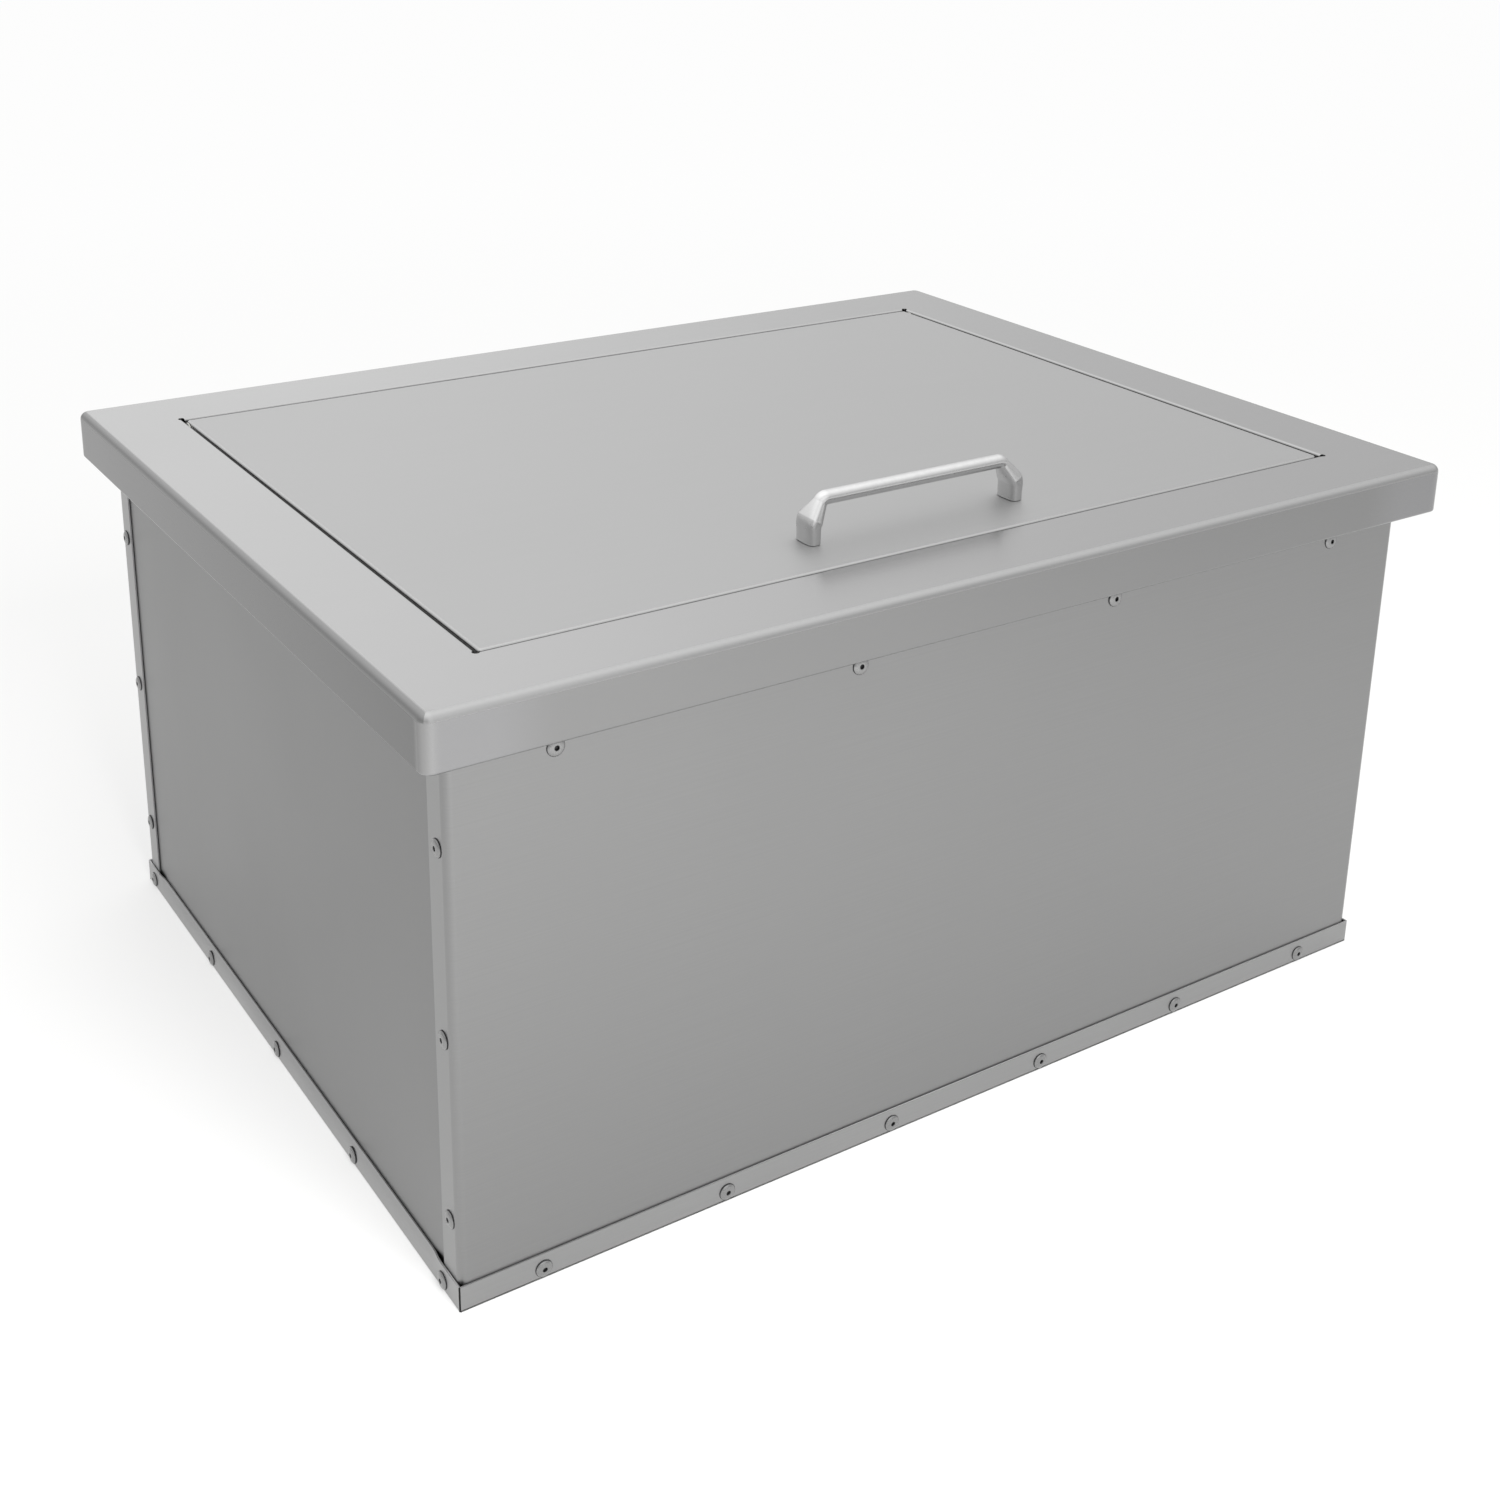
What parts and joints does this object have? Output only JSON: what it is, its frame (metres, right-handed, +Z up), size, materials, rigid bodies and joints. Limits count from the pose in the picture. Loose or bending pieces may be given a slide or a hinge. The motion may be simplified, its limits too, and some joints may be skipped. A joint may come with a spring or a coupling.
{
  "type": "built-in ice chest",
  "caption": "Stainless drop-in ice chest: wide flat rim, flush hinged lid with bridge handle, riveted sheet jacket, insulated tub and drain.",
  "frame": {"origin": "middle of the flat underside of the bottom pan", "axes": "+Z up, -Y the front (the side that the lid opens from), X along the rim's length"},
  "size_m": [0.66, 0.511, 0.3535],
  "materials": {
    "brushed_stainless": "fine brushed",
    "satin_stainless": "satin",
    "polished_stainless": "polished",
    "white_foam": "closed-cell foam board",
    "grey_rubber": "matte",
    "white_nylon": "moulded nylon"
  },
  "bodies": {
    "chest": {"top_rim": "brushed_stainless", "front_panel": "brushed_stainless", "back_panel": "brushed_stainless", "left_panel": "brushed_stainless", "right_panel": "brushed_stainless", "bottom_pan": "brushed_stainless", "front_rim_angle": "satin_stainless", "back_rim_angle": "satin_stainless", "inner_tub": "brushed_stainless", "insulation_floor": "white_foam", "insulation_front": "white_foam", "insulation_back": "white_foam", "insulation_left": "white_foam", "insulation_right": "white_foam", "drain_body": "satin_stainless", "drain_washer": "grey_rubber", "drain_locknut": "satin_stainless", "hinge_pin_left": "polished_stainless", "hinge_pin_right": "polished_stainless", "front_rim_rivet_1": "satin_stainless", "front_rim_rivet_2": "satin_stainless", "front_rim_rivet_3": "satin_stainless", "front_rim_rivet_4": "satin_stainless", "back_rim_rivet_1": "satin_stainless", "back_rim_rivet_2": "satin_stainless", "back_rim_rivet_3": "satin_stainless", "back_rim_rivet_4": "satin_stainless", "left_pan_rivet_1": "satin_stainless", "left_pan_rivet_2": "satin_stainless", "left_pan_rivet_3": "satin_stainless", "left_pan_rivet_4": "satin_stainless", "left_pan_rivet_5": "satin_stainless", "right_pan_rivet_1": "satin_stainless", "right_pan_rivet_2": "satin_stainless", "right_pan_rivet_3": "satin_stainless", "right_pan_rivet_4": "satin_stainless", "right_pan_rivet_5": "satin_stainless", "front_left_strip_rivet_1": "satin_stainless", "front_left_strip_rivet_2": "satin_stainless", "front_left_strip_rivet_3": "satin_stainless", "back_left_strip_rivet_1": "satin_stainless", "back_left_strip_rivet_2": "satin_stainless", "back_left_strip_rivet_3": "satin_stainless", "front_right_strip_rivet_1": "satin_stainless", "front_right_strip_rivet_2": "satin_stainless", "front_right_strip_rivet_3": "satin_stainless", "back_right_strip_rivet_1": "satin_stainless", "back_right_strip_rivet_2": "satin_stainless", "back_right_strip_rivet_3": "satin_stainless"},
    "lid": {"lid_skin": "brushed_stainless", "lid_liner": "satin_stainless", "lid_foam": "white_foam", "lid_gasket": "grey_rubber", "lid_handle": "polished_stainless", "handle_screw_left": "satin_stainless", "handle_screw_right": "satin_stainless", "hinge_bush_left": "white_nylon", "hinge_bush_right": "white_nylon"},
    "plug": {"drain_plug": "grey_rubber"}
  },
  "joints": [
    {"name": "lid_hinge", "type": "hinge", "parent": "chest", "child": "lid", "pos_m": [0, 0.1983, 0.3211], "axis": [-1, 0, 0], "range_deg": [0, 105]},
    {"name": "drain_plug_lift", "type": "slide", "parent": "chest", "child": "plug", "axis": [0, 0, 1], "range_m": [0, 0.05]}
  ]
}
